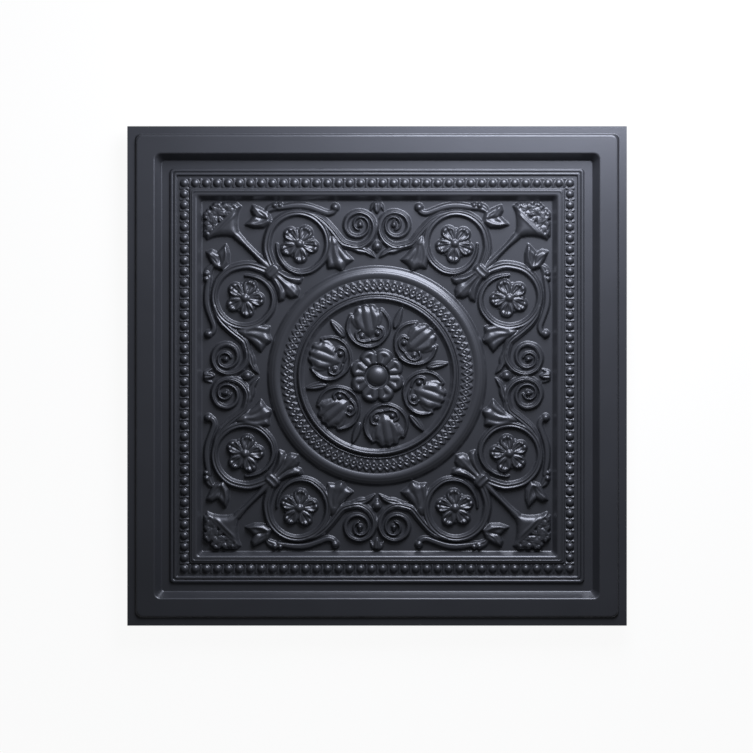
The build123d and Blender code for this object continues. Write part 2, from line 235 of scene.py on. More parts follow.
def flower(relief, centre, radius, petals, first, height, notch, rim, dish, point=2.0, folds=0.0):
    """A flower. off is 0 along the middle of a petal and 1 on the line between two, and far is 1 at the
    edge, which draws in towards that line. The height climbs over the rim's width from the edge and
    from the line between petals, and dips behind the rim by the dish. Bell curves cut the folds."""
    centre = np.asarray(centre, float)
    part = relief.window(centre - radius - CLEAR, centre + radius + CLEAR)
    dx, dy = relief.x[part] - centre[0], relief.y[part] - centre[1]
    turn = (np.degrees(np.arctan2(dy, dx)) - first) * petals / 360
    off = np.abs(turn - np.round(turn)) * 2
    out = np.hypot(dx, dy) / radius
    far = out / (1 - notch * off**point)
    beside = (1 - off) * out * math.pi / petals
    dip = np.clip((np.minimum(1 - far, beside) - rim) / rim, 0, 1)
    body = climb(1 - far, rim) * (0.5 + 0.5 * climb(beside, rim)) * (1 - dish * dip * dip * (3 - 2 * dip))
    body *= 1 - folds * (np.exp(-((off / 0.1) ** 2)) + 0.7 * np.exp(-(((off - 0.45) / 0.1) ** 2)))
    relief.top(part, np.where(far < 1, height * body, 0))


def plate(relief, outline, height, edge, sag=0.0):
    """A form with rounded borders: inside the outline the height climbs over the edge's width, and sinks
    again by a share towards the middle."""
    corners = np.asarray(outline, float)
    part = relief.window(corners.min(0) - CLEAR, corners.max(0) + CLEAR)
    x, y = relief.x[part], relief.y[part]
    inside, near = np.zeros(x.shape, bool), np.full(x.shape, FAR_AWAY)
    for (ax, ay), (bx, by) in zip(corners, np.roll(corners, -1, 0)):
        run_x, run_y = bx - ax, by - ay
        if ay != by:
            inside ^= ((ay > y) != (by > y)) & (x < ax + (y - ay) * run_x / run_y)
        t = np.clip(((x - ax) * run_x + (y - ay) * run_y) / (run_x**2 + run_y**2), 0, 1)
        near = np.minimum(near, np.hypot(x - ax - t * run_x, y - ay - t * run_y))
    body = climb(near, edge) * (1 - sag * np.clip(near / edge - 1, 0, 1))
    relief.top(part, np.where(inside, height * body, 0))


# %% [markdown]
# ## The scroll field
# Between the square border and the round medallion lies scrollwork that repeats eight times: it mirrors
# about both middle lines and both diagonals. So only one eighth is drawn, to the right of the upper middle
# line, in millimetres from the tile's middle. Its main form is a stem that winds into a ring round a flower
# of five petals. The stem is a fluted stroke that thins out, and the flower two layers of petals and an eye.

# %% Ring and flower
RING_CENTRE = np.array([95.8, 160.2])
FLOWER_CENTRE = RING_CENTRE + (-1.5, 0.0)
MIRROR_MARGIN = 8

field = Relief(-MIRROR_MARGIN, 222)
ring_line = around(
    RING_CENTRE,
    [(-64, 44), (-45, 41.5), (-20, 38.6), (0, 37.8), (30, 37.5), (60, 37.3), (90, 37.3),
     (120, 37), (150, 36.8), (180, 36.6), (210, 36.5), (240, 36.2), (262, 35.4), (280, 33.6),
     (296, 31.4), (311, 29.4), (325, 27.8), (338, 26.6), (349, 26), (359, 25.5)],
)
ring_widths = [3.5, 4.6, 5.2, 5.2, 5, 4.8, 4.5, 4.3, 4.2, 4.2, 4.2, 4.2, 4.2, 4.2, 4, 3.6, 3, 2.4, 1.8, 1.0]
stroke(field, ring_line, ring_widths, 6.0)
flower(field, FLOWER_CENTRE, 19.0, 5, 84, 3.6, notch=0.35, rim=0.14, dish=0.2, point=1.1, folds=0.3)
flower(field, FLOWER_CENTRE, 23.8, 5, 48, 5.8, notch=0.45, rim=0.15, dish=0.3, point=2.4, folds=0.3)
ball(field, FLOWER_CENTRE, 8.6, 4.9)
ball(field, FLOWER_CENTRE, 6.2, 7.8)
print("ring drawn, highest point", round(field.z.max(), 2), "mm")

# %% [markdown]
# ## Volute and tendril
# From the ring a stem runs to the middle line and rolls up into a spiral with a pointed eye, and a thin
# tendril creeps along the border to a small ball. A spiral curve from a formula is too even for carved work,
# so the radius is given for each part of a turn. Towards its end the winding also moves a little
# off its middle, to close round the eye.

# %% Stem, volute and tendril
VOLUTE_CENTRE = np.array([21.6, 181.0])
WINDING_SHIFT = (-1.0, 2.6)
VOLUTE_EYE = VOLUTE_CENTRE + (-1.0, 2.8)

stem = [(84, 197), (74, 193.5), (64.5, 187), (56.5, 178.5), (50, 170.5), (44.5, 163.5)]
winding = around(
    VOLUTE_CENTRE,
    [(-52, 27.5), (-88, 24.5), (-120, 21.5), (-150, 19.3), (-184, 18.3), (-225, 17.8), (-270, 17.6),
     (-315, 17.5), (-355, 16.8), (-390, 15.2), (-425, 13.4), (-460, 12.3), (-495, 11.5), (-530, 10.9),
     (-565, 10.3), (-600, 9.6), (-640, 8.8), (-680, 8.0), (-720, 7.4), (-760, 7.0), (-795, 6.8)],
)
winding += np.outer(np.clip(np.arange(len(winding)) / 6 - 1.6, 0, 1), WINDING_SHIFT)
volute_widths = [2.8, 4.2, 5, 5.2, 5.2, 5, 4.6, 4.1, 3.8, 3.6, 3.5, 3.4, 3.2, 2.9, 2.5, 2.1, 1.8, 1.6, 1.5, 1.4]
stroke(field, np.vstack([stem, winding]), volute_widths, 5.8, flutes=3, depth=0.38)
eye = [(-3.6, -1.4), (-2.6, -3.4), (0, -4.2), (2.6, -3.4), (3.6, -1.4), (2.2, 1.8), (0, 5.2), (-2.2, 1.8)]
plate(field, VOLUTE_EYE + eye, 6.2, 2.4)
tendril = [(120, 203), (107, 205.5), (94, 206.5), (82, 204.8), (70, 200.8), (60, 197.4), (53.5, 199),
           (50.7, 204)]
stroke(field, tendril, [2.4, 3.4, 3.8, 3.8, 3.6, 3.4, 3.4, 3.4], 5.2, flutes=1, depth=0.2)
ball(field, (50.7, 204.2), 5.0, 6.4)
print("volute drawn,", len(winding), "points in its winding")

# %% [markdown]
# ## Leaves and berries
# Where stems part, a broad leaf with three tips covers the joint. Such a leaf could be one leaf stroke per
# tip, but then its body shows three ridges. It is a plate with a drawn outline instead, and soft folds and
# creases run from its foot to its tips. Small plain leaves and berries fill what is left.

# %% Leaves of the scrollwork
lily = [(55, 172), (60, 160), (62.5, 146), (60, 129.5), (51, 130.5), (42, 126.5), (37.5, 134), (28, 140.6),
        (36, 147.5), (44, 156.5), (48, 166)]
lily_folds = ([(51, 168), (51, 152), (42.5, 128)], [(50, 164), (42, 152), (30, 141.5)],
              [(54, 168), (59, 150), (59.5, 131)])
lily_creases = ([(50, 160), (46, 147), (37, 135)], [(53, 160), (55, 146), (51, 130)])
plate(field, lily, 6.2, 7.0, sag=0.12)
for fold in lily_folds:
    rib(field, fold, 2.6, 0.8)
for crease in lily_creases:
    rib(field, crease, 2.2, -1.0)

tail = [(127, 186), (137, 179), (149, 178.8), (160.5, 183), (154, 189), (149.5, 193.5), (153, 200),
        (150.6, 207.5), (141, 203.5), (131, 198)]
plate(field, tail, 5.6, 4.5, sag=0.2)
for lobe in ([(130, 191), (141, 196), (149, 206)], [(131, 188), (144, 183.5), (158, 183.5)]):
    rib(field, lobe, 1.7, 1.3)
for crease in ([(134, 190), (143, 191), (150, 193.5)], [(134, 192), (142, 198), (146, 203)]):
    rib(field, crease, 1.3, -1.4)

small_leaves = [
    ([(135, 198), (127, 204), (112, 206)], 10, 3.8, 0),
    ([(36, 160), (25, 154), (13, 151), (2.5, 143.5)], 10, 5.0, 3),
    ([(0, 213), (0, 206), (0, 197)], 10, 5.8, 0),
    ([(1, 212), (5, 207), (8, 200)], 4, 3.4, 0),
    ([(0, 164), (0, 157), (0, 149)], 10, 3.0, 0),
]
for spine, width, height, lobes in small_leaves:
    leaf(field, spine, width, height, lobes)
berries = [((124.0, 206.5), 3.9, 6.0), ((117.5, 207.0), 3.6, 5.6), ((0, 157.0), 5.6, 6.0)]
for centre, radius, height in berries:
    ball(field, centre, radius, height)
print(2 + len(small_leaves), "leaves and", len(berries), "berries drawn")

# %% [markdown]
# ## Husk, knot and stem on the diagonal
# Two rings meet on the diagonal of the square, and a husk with a knotted collar binds their stems. From it a
# straight stem leads to the corner. These forms are their own mirror images, so their points are given along
# and across the diagonal, for one side only.

# %% Husk, knot and diagonal stem
def diagonal(points, side=1):
    """Points given as distance along the diagonal and distance across it, as places in the plan. With a
    side of -1 they lie on the other side of the diagonal."""
    along, across = (np.asarray(points, float) * (1, side)).T
    return np.c_[along - across, along + across] / math.sqrt(2)


def both_sides(side):
    """The points of one side of an outline, and the same on the other side of the line."""
    side = np.asarray(side, float)
    return np.vstack([side, side[::-1] * (1, -1)])


husk = [(135.4, 0.2), (140, 7.5), (146.5, 9.5), (144.5, 14.5), (147.3, 21), (154.5, 15.5), (163, 11),
        (171, 8.4), (180, 7.2)]
plate(field, diagonal(both_sides(husk)), 5.8, 6.0, sag=0.1)
for side in (1, -1):
    rib(field, diagonal([(178, 4), (160, 8), (148, 19)], side), 1.8, 1.3)
    rib(field, diagonal([(172, 2.5), (158, 4.5), (146.5, 9)], side), 1.9, -1.8)
rib(field, diagonal([(176, 0), (156, 0), (137, 0)]), 2.2, 1.2)
collar = [(172, 0.2), (173, 8.4), (177, 9.8), (182, 9.8), (186, 8), (187, 0.2)]
plate(field, diagonal(both_sides(collar)), 6.6, 3.6)
for along in (176.0, 182.5):
    rib(field, diagonal([(along + 1, -10), (along, 0), (along + 1, 10)]), 1.5, 1.0)
corner_stem = [(180, 0), (197, 0), (214, 0), (226, 0), (240, 0)]
stroke(field, diagonal(corner_stem), [5.4, 3.8, 3.0, 3.0, 4.6], 5.4, flutes=0)
print("husk and knot drawn")

# %% [markdown]
# ## The corner flower
# In each corner a bell-shaped flower opens towards the border. Nine lobed leaves fan out from the mouth of
# the bell, and a few small open blossoms lie over them as ruffles, each with its own size and turn, because
# carved ruffles are never alike.

# %% Bell, fan and ruffles
LAST_TURN = 1.05

bell = [(235, 2.6), (242, 4.6), (248, 8.4), (254, 14.5), (259, 21.5), (262, 29.5), (266.5, 28), (267.5, 19),
        (268, 8), (268, 0.2)]
plate(field, diagonal(both_sides(bell)), 7.0, 9.0)
for along, spread, height in ((260.5, 21, 0.9), (265.5, 25, 1.4)):
    rib(field, diagonal([(along - 1, -spread), (along, 0), (along - 1, spread)]), 1.6, height)
for turn in np.linspace(-LAST_TURN, LAST_TURN, 9):
    foot = np.array([268.5 - 2 * turn**2, 18 * turn])
    tip = foot + 17 * (1 - 0.36 * abs(turn)) * np.array([math.cos(turn), math.sin(turn)])
    spine = diagonal([foot, (foot + tip) / 2 + (0, 1.6), tip])
    leaf(field, spine, 9, 4.6, lobes=2, lobe_depth=0.35, crease=0.4, belly=0.6)
ruffles = [(274, 1, 10.5, 20), (271.5, 13, 8.5, 60), (272, -12, 9.5, 0), (267, 20.5, 6, 10),
           (266.5, -21, 5.5, 50), (281, 8, 7, 35), (281.5, -6, 7.5, 80)]
for along, across, radius, first in ruffles:
    centre = diagonal([(along, across)])[0]
    flower(field, centre, radius, 5, first, 6.4, notch=0.5, rim=0.25, dish=0.45, folds=0.15)
print("corner flower drawn with", len(ruffles), "ruffles")

# %% [markdown]
# ## Mirroring
# The raster is turned over its diagonal, and the higher height is kept at each place. The same is done over
# the middle line, which the raster passes by a few millimetres, so that forms on the line close without a
# step. Just before the medallion and the border the forms fade out, so that all pieces meet at one level.

# %% Mirror the eighth and fade it out at both borders
BORDER_RADIUS = 134.0
FIELD_HALF = 211.0
FADE_GAP = 0.5
FADE_WIDTH = 1.2

field.z = np.maximum(field.z, field.z.T)
from_circle = np.hypot(field.x, field.y) - (BORDER_RADIUS + FADE_GAP)
from_square = FIELD_HALF - FADE_GAP - np.maximum(np.abs(field.x), np.abs(field.y))
field.z *= np.clip(np.minimum(from_circle, from_square) / FADE_WIDTH, 0, 1)
middle = int(round(MIRROR_MARGIN / RASTER_STEP))
near_middle = np.maximum(field.z[:, :middle], field.z[:, middle + 1:2 * middle + 1][:, ::-1])
field.z[:, :middle] = near_middle
field.z[:, middle + 1:2 * middle + 1] = near_middle[:, ::-1]
field.z[:middle, :] = field.z[:, :middle].T
print("field raster", field.z.shape)

# %% [markdown]
# ## The medallion's middle
# Inside the medallion's rim lies a flat panel with a round boss, a rosette of eight dished petals, and six
# leaf cups that open outwards, with a pointed leaf between each two. A cup is a broad lobed leaf with a
# raised rim, a domed shell leaf on it, and two curls at its foot. One cup is drawn pointing along the first
# axis, and it is carved six times, turned by sixty degrees each time.

# %% Six cups
HEART_RADIUS = 88.0
FIRST_CUP = 40

heart = Relief(-95, 95)


def turned(points, degrees, side=1):
    """The points turned about the tile's middle, and flipped over the first axis before if side is -1."""
    a = math.radians(degrees)
    p = np.asarray(points, float) * (1, side)
    return np.c_[p[:, 0] * math.cos(a) - p[:, 1] * math.sin(a), p[:, 0] * math.sin(a) + p[:, 1] * math.cos(a)]


palmette = [(33.6, 0.2), (35, 8), (39.5, 16), (46, 22.5), (54, 26.4), (62, 27.4), (69, 26), (76, 22.5),
            (80, 19.5), (78.5, 15.5), (81, 12.5), (86, 9.5), (84.8, 4.5), (87.6, 0.2)]
shell = [(46, 0.2), (50, 6), (56, 12.5), (63, 18), (70, 21), (76, 21), (79.3, 17), (78, 14.4), (84.5, 11.5),
         (86.4, 7), (84.6, 4.2), (88.3, 0.2)]
rim = [(35.4, 0), (37, 8), (41.5, 15.8), (48.5, 22.2), (57.5, 25.6), (67, 25), (75.5, 20.8)]
curl = [(43.5, 1.5), (43.5, 9), (48, 15.5), (55, 16), (57.5, 11)]
vein = [(57, 9), (69, 11.5), (85, 10.5)]
creases = ([(56, 4.5), (70, 5.5), (85, 5)], [(62, 13), (70, 15.5), (79, 15)])
for angle in FIRST_CUP + 60 * np.arange(6):
    plate(heart, turned(both_sides(palmette), angle), 4.2, 2.4, sag=0.35)
    plate(heart, turned(both_sides(shell), angle), 5.7, 9.0)
    rib(heart, turned([(52, 0), (70, 0), (89, 0)], angle), 2.6, 0.6)
    for side in (1, -1):
        stroke(heart, turned(rim, angle, side), [1.6, 1.6, 1.6, 1.6, 1.5, 1.4, 1.0], 6.0, flutes=0)
        stroke(heart, turned(curl, angle, side), [1.4, 1.8, 2.0, 2.0, 1.6], 6.2, flutes=0)
        ball(heart, turned([(50.8, 9.8)], angle, side)[0], 4.2, 6.8)
        rib(heart, turned(vein, angle, side), 2.4, 0.5)
        for crease in creases:
            rib(heart, turned(crease, angle, side), 1.8, -0.9)
    leaf(heart, turned([(61, 0), (75, 0), (88, 0)], angle + 30), 9, 5.0)
print("cups drawn, highest point", round(heart.z.max(), 2), "mm")

# %% Rosette and boss
BOSS_RING = 14.9

flower(heart, (0, 0), 33.2, 8, 25, 5.6, notch=0.17, rim=0.15, dish=0.32, point=2.2)
far = np.hypot(heart.x, heart.y)
heart.z = np.maximum(heart.z, dome(far - BOSS_RING, 1.7, 5.4))
heart.z[far < BOSS_RING] = 2.0
ball(heart, (0, 0), 12.8, 8.0)
heart.z *= np.clip((HEART_RADIUS - 0.6 - far) / FADE_WIDTH, 0, 1)
print("medallion raster", heart.z.shape, "highest", round(heart.z.max(), 2), "mm")

# %% [markdown]
# ## From relief to sheet
# A formed sheet is a little softer than its mould on the face, and softer still on the back, because the
# plastic bridges the narrow grooves. The back follows the lowest face heights nearby, so that the sheet
# keeps some thickness beside every steep wall.

# %% Soften both sides
SHEET = 0.8
FACE_SOFTNESS = 0.55
BACK_SOFTNESS = 1.2
BACK_REACH = 3
PANEL_RISE = 4.0


def sides_of(relief, base):
    """Face height, face slopes and back height rasters of a relief that stands on the base."""
    face = soften(relief.z, FACE_SOFTNESS) + base
    slope_y, slope_x = np.gradient(face, RASTER_STEP)
    back = soften(lowest_near(face, BACK_REACH), BACK_SOFTNESS) - SHEET
    return relief.axis, (face, slope_x, slope_y, back)


field_axis, field_sides = sides_of(field, SHEET)
heart_axis, heart_sides = sides_of(heart, SHEET + PANEL_RISE)
for name, sides in (("field", field_sides), ("medallion", heart_sides)):
    print("highest face of the", name, round(sides[0].max(), 2), "mm")

# %% [markdown]
# ## Heights between the raster points
# The nets of the meshes run in rings and along sides, so their points seldom fall on raster points. A height
# there is a mean of the four raster points round it. The field's raster holds one eighth only, so a place
# elsewhere is first folded into it.

# %% Look heights up
def look_up(raster, axis, x, y):
    """A value at any place, as the weighted mean of the four raster points round it."""
    u, v = (x - axis[0]) / RASTER_STEP, (y - axis[0]) / RASTER_STEP
    j = np.clip(np.floor(u).astype(int), 0, len(axis) - 2)
    i = np.clip(np.floor(v).astype(int), 0, len(axis) - 2)
    a, b = u - j, v - i
    return (raster[i, j] * (1 - a) + raster[i, j + 1] * a) * (1 - b) + (
        raster[i + 1, j] * (1 - a) + raster[i + 1, j + 1] * a) * b


def from_field(x, y):
    """Face height, slopes and back height at places of the field, folded into the eighth that is drawn.
    Folding swaps or turns the slopes with the places."""
    ax, ay = np.abs(x), np.abs(y)
    steep = ay >= ax
    fx, fy = np.where(steep, ax, ay), np.where(steep, ay, ax)
    face, sx, sy, back = (look_up(raster, field_axis, fx, fy) for raster in field_sides)
    slope_x = np.where(steep, sx, sy) * np.sign(x)
    slope_y = np.where(steep, sy, sx) * np.sign(y)
    return face, slope_x, slope_y, back


def from_heart(x, y):
    """The same at places of the medallion's middle, which is drawn whole."""
    return tuple(look_up(raster, heart_axis, x, y) for raster in heart_sides)


# %% [markdown]
# ## Numbering a net
# Each piece is a net of four-sided faces for the face side, a coarser net for the back, and a narrow wall
# that joins the two round the border, so the piece is a closed body as thin as the sheet. The coarse net
# takes every third point of the fine one, so a net's points count one more than a multiple of three each
# way. Solidify could give the wall, but its back would be as fine as the face.

# %% Faces between numbered points
BACK_STRIDE = 3


def net_numbers(rows, columns, first, ring):
    """Point numbers of a net, with its first column repeated at the end of a ring."""
    used = columns - 1 if ring else columns
    index = first + np.arange(rows * used).reshape(rows, used)
    return np.c_[index, index[:, :1]] if ring else index


def net_points(net, ring):
    """The points of a net as a list, without the repeated last column of a ring."""
    return (net[:, :-1] if ring else net).reshape(-1, 3)


def net_faces(index, flip):
    """The four-sided faces of a net of point numbers, turned over if asked."""
    a, b = index[:-1, :-1].ravel(), index[:-1, 1:].ravel()
    c, d = index[1:, 1:].ravel(), index[1:, :-1].ravel()
    return np.c_[a, d, c, b] if flip else np.c_[a, b, c, d]


def zip_border(fine, coarse, stride):
    """Triangles that join a fine border line to a coarse one that has every stride-th of its places. All
    but the last of a stride's triangles fan from the coarse point before, the last one from the one after."""
    k = np.arange(len(fine) - 1)
    cell, step = k // stride, k % stride
    fan = np.where(step < stride - 1, cell, cell + 1)
    c = np.arange(len(coarse) - 1)
    return np.vstack([
        np.c_[fine[k], coarse[fan], fine[k + 1]],
        np.c_[fine[c * stride + stride - 1], coarse[c], coarse[c + 1]],
    ])


print("the face has", BACK_STRIDE**2, "points for one on the back")

# %% [markdown]
# ## Meshing one piece of the sheet
# Blender keeps a mesh as long lists of points, of the point number at every corner, and of the first corner
# of every face. foreach_set fills a list in one go, which is far quicker than adding faces one by one.
# Normals of the face side come from the formulas, so that light flows over the seams between pieces.

# %% The piece maker
pieces = []


def filled_mesh(name, points, fronts, backs, walls):
    """A mesh of the face side's and the back's four-sided faces and the wall's triangles. The back takes
    the second material, and the wall is shaded flat."""
    corners = np.concatenate([fronts.ravel(), backs.ravel(), walls.ravel()]).astype(np.int32)
    quads = len(fronts) + len(backs)
    sizes = np.r_[np.full(quads, 4), np.full(len(walls), 3)]
    kind = np.arange(len(sizes))
    mesh = bpy.data.meshes.new(name)
    mesh.vertices.add(len(points))
    mesh.vertices.foreach_set("co", points.astype(np.float32).ravel())
    mesh.loops.add(len(corners))
    mesh.loops.foreach_set("vertex_index", corners)
    mesh.polygons.add(len(sizes))
    mesh.polygons.foreach_set("loop_start", np.r_[0, np.cumsum(sizes)[:-1]].astype(np.int32))
    mesh.polygons.foreach_set("material_index", ((kind >= len(fronts)) & (kind < quads)).astype(np.int32))
    mesh.polygons.foreach_set("use_smooth", kind < quads)
    mesh.update(calc_edges=True)
    print(name, "has", 2 * quads + len(walls), "triangles")
    return mesh


def sheet_piece(name, face, normal, back, stride=BACK_STRIDE, ring=False):
    """A closed piece of sheet. face and back hold x, y and z nets in millimetres, normal is the face's
    normal at each point, and a ring is a net whose last column is its first one again. The cross product
    of the net's two directions says whether its faces have to be turned over to look up."""
    back = [net[::stride, ::stride] for net in back]
    face_points, back_points = (net_points(np.dstack(nets), ring) for nets in (face, back))
    front_index = net_numbers(*face[0].shape, 0, ring)
    back_index = net_numbers(*back[0].shape, len(face_points), ring)
    x, y = face[0], face[1]
    over = (x[0, 1] - x[0, 0]) * (y[1, 0] - y[0, 0]) < (y[0, 1] - y[0, 0]) * (x[1, 0] - x[0, 0])
    borders = [(front_index[0], back_index[0], False), (front_index[-1], back_index[-1], True)]
    if not ring:
        borders += [(front_index[:, -1], back_index[:, -1], False), (front_index[:, 0], back_index[:, 0], True)]
    walls = np.vstack([
        zip_border(fine, coarse, stride)[:, ::-1 if flip != over else 1] for fine, coarse, flip in borders
    ])
    fronts, backs = net_faces(front_index, over), net_faces(back_index, not over)
    mesh = filled_mesh(name, MM * np.vstack([face_points, back_points]), fronts, backs, walls)

    unit = normal / np.linalg.norm(normal, axis=-1, keepdims=True)
    corner_normal = np.zeros((len(mesh.loops), 3))
    corner_normal[:fronts.size] = net_points(unit, ring)[fronts.ravel()]
    mesh.normals_split_custom_set(corner_normal.tolist())
    piece = bpy.data.objects.new(name, mesh)
    bpy.context.scene.collection.objects.link(piece)
    pieces.append(piece)


def relief_piece(name, x, y, heights_at, ring=False):
    """A piece whose face is a height over the plan. The normal leans back from both slopes."""
    z, slope_x, slope_y, back_z = heights_at(x, y)
    normal = np.dstack([-slope_x, -slope_y, np.ones_like(z)])
    sheet_piece(name, (x, y, z), normal, (x, y, back_z), ring=ring)


# %% [markdown]
# ## The medallion's middle as a mesh
# A round panel could be meshed in rings and spokes, but then its middle is crowded with slivers. Here a
# square net is bent into a disc instead: each square about the net's middle becomes a ring, so that all
# faces stay nearly the same size.

# %% Mesh the medallion's middle
HEART_CELLS = 282


def square_to_disc(cells, radius):
    """A net over a square, bent into a disc: the larger of the two coordinates becomes the radius, and
    their ratio becomes the angle within the quarter."""
    u, v = np.meshgrid(np.linspace(-1, 1, cells + 1), np.linspace(-1, 1, cells + 1))
    larger = np.maximum(np.abs(u), np.abs(v))
    wide = np.abs(u) >= np.abs(v)
    ratio = np.where(wide, v, u) / np.where(larger > 0, np.where(wide, u, v), 1)
    angle = np.where(wide, ratio * np.pi / 4, np.pi / 2 - ratio * np.pi / 4)
    angle = angle + np.where(np.where(wide, u, v) < 0, np.pi, 0)
    return radius * larger * np.cos(angle), radius * larger * np.sin(angle)


x, y = square_to_disc(HEART_CELLS, HEART_RADIUS)
relief_piece("medallion_middle", x, y, from_heart)

# %% [markdown]
# ## The medallion's border
# Round the middle run a high round rim, a fine line, a twisted band, and a broad low roll with fine lines on
# it. All but the band are the same all round, so they are a profile over the radius. The band is two wavy
# cords that cross each other, with a bead in each eye. A height formula over the plan gives both.

# %% Profile of the medallion's border
PROFILE_STEP = 0.1
PROFILE_SOFTNESS = 0.45
RIM_MIDDLE = 94.0

border_reach = np.arange(85, 140, PROFILE_STEP)
profile = np.interp(
    border_reach,
    [85, 88.6, 90.4, 92, 96, 97.2, 98.4, 99.2, 100.2, 101.0, 117.1, 117.8,
     119.4, 121.4, 123.2, 125.0, 125.8, 126.8, 128.6, 129.4, 130.6, 132.4, 133.6, 140],
    [4.8, 4.8, 6.4, 7.0, 7.0, 5.2, 5.2, 7.0, 7.0, 5.4, 5.4, 5.2,
     5.9, 6.4, 6.6, 6.4, 5.9, 5.9, 5.1, 4.4, 4.1, 2.0, 0.8, 0.8],
)
rim_dome = dome(border_reach - RIM_MIDDLE, 2.6, 4.4)
profile = np.maximum(profile, np.where(rim_dome > 0, 5.6 + rim_dome, 0))
blur = np.exp(-0.5 * (np.arange(-20, 21) * PROFILE_STEP / PROFILE_SOFTNESS) ** 2)
profile = np.convolve(np.pad(profile, 20, mode="edge"), blur / blur.sum(), mode="valid")
print("the border's profile reaches", round(profile.max(), 2), "mm")

# %% Height of the medallion's border
BAND_MIDDLE = 109.3
BAND_WAVES = 42
WAVE_REACH = 4.8


def border_height(x, y):
    """Profile over the radius, and in the band the higher of two crossing waves and a row of beads."""
    reach, turn = np.hypot(x, y), np.arctan2(y, x)
    height = np.interp(reach, border_reach, profile)
    wave = WAVE_REACH * np.sin(BAND_WAVES * turn)
    cords = [dome(reach - BAND_MIDDLE - side * wave, 2.7, 1.7) for side in (1, -1)]
    phase = turn * BAND_WAVES / np.pi - 0.5
    step = (phase - np.round(phase)) * np.pi / BAND_WAVES * BAND_MIDDLE
    beads = dome(np.hypot(step, reach - BAND_MIDDLE), 2.3, 1.9)
    return height + np.maximum(np.maximum(*cords), beads)


def from_formula(formula, softness, x, y):
    """Heights and slopes of a height formula. Each is a mean over nearby places, so it is a little softer
    than the formula, and the back lies one sheet below a wider mean."""
    near, wide = np.zeros((3, 3) + x.shape), np.zeros_like(x)
    for i in (0, 1, 2):
        for j in (0, 1, 2):
            near[i, j] = formula(x + (i - 1) * softness, y + (j - 1) * softness)
            wide += formula(x + (i - 1) * 3 * softness, y + (j - 1) * 3 * softness) / 9
    weight = np.array([1, 2, 1]) / 4
    z = np.einsum("i,j,ij...->...", weight, weight, near)
    slope_x = np.einsum("j,j...->...", weight, near[2] - near[0]) / (2 * softness)
    slope_y = np.einsum("i,i...->...", weight, near[:, 2] - near[:, 0]) / (2 * softness)
    return z, slope_x, slope_y, np.minimum(wide, z) - SHEET


# %% Mesh the medallion's border
BORDER_COLUMNS, BORDER_ROWS = 1261, 64

turns, reaches = np.meshgrid(np.linspace(0, 2 * np.pi, BORDER_COLUMNS),
                             np.linspace(HEART_RADIUS, BORDER_RADIUS, BORDER_ROWS))
x, y = reaches * np.cos(turns), reaches * np.sin(turns)
relief_piece("medallion_border", x, y, partial(from_formula, border_height, 0.35), ring=True)

# %% [markdown]
# ## The scroll field as meshes
# The field is what lies between the round medallion and the square border. Four equal pieces cover it,
# one to each side. The first parameter runs along the side, and the second from the circle out to the
# square, so the net turns smoothly from round to straight.

# %% Mesh the four sides of the field
SIDE_COLUMNS, SIDE_ROWS = 397, 142


def quarter_turn(turn):
    """Cosine and sine of a number of quarter turns, as whole numbers."""
    return round(math.cos(turn * math.pi / 2)), round(math.sin(turn * math.pi / 2))


u, t = np.meshgrid(np.linspace(-1, 1, SIDE_COLUMNS), np.linspace(0, 1, SIDE_ROWS))
inner_x, inner_y = BORDER_RADIUS * np.cos(u * np.pi / 4), BORDER_RADIUS * np.sin(u * np.pi / 4)
side_x = inner_x + (FIELD_HALF - inner_x) * t
side_y = inner_y + (FIELD_HALF * u - inner_y) * t
for turn, name in enumerate(("east", "north", "west", "south")):
    c, s = quarter_turn(turn)
    x, y = c * side_x - s * side_y, s * side_x + c * side_y
    relief_piece("field_" + name, x, y, from_field)

# %% [markdown]
# ## The square border
# The border is one moulding carried round a square: flat lip, broad band, sloping wall, ledge with two
# ridges, bead channel, rim and a last wall down to the field. It is given as corner points of its cross
# section, each with the radius of its rounding, and as the radius that the square's corners have there.

# %% Round a cross section
def rounded_section(corners, steps=6):
    """Distance from the tile's edge, height and normal along a cross section whose corners are rounded by
    arcs that touch both runs. The normal is the run's direction turned by a quarter."""
    points = np.array([c[:2] for c in corners], float)
    rows = [(*points[0], *np.diff(points[:2], axis=0)[0])]
    for before, (d, z, radius), after in zip(points, corners[1:-1], points[2:]):
        here = np.array([d, z])
        into, out = here - before, after - here
        into, out = into / np.hypot(*into), out / np.hypot(*out)
        bend = math.acos(np.clip(into @ out, -1, 1))
        side = np.sign(into[0] * out[1] - into[1] * out[0])
        centre = here - into * radius * math.tan(bend / 2) + side * radius * np.array([-into[1], into[0]])
        for share in np.linspace(0, 1, steps + 1):
            a = math.atan2(into[1], into[0]) + side * bend * share
            way = np.array([math.cos(a), math.sin(a)])
            rows.append((*(centre - side * radius * np.array([-way[1], way[0]])), *way))
    rows.append((*points[-1], *np.diff(points[-2:], axis=0)[0]))
    d, z, way_d, way_z = np.array(rows).T
    size = np.hypot(way_d, way_z)
    return d, z, -way_z / size, way_d / size


# %% Carry the section round the square
TILE_HALF = 301.5
CORNER_STEPS, SIDE_STEPS = 9, 8


def closed_row(parts):
    """The four sides' points one after the other, with the first point again at the end."""
    return np.hstack(parts + [parts[0][..., :1]])


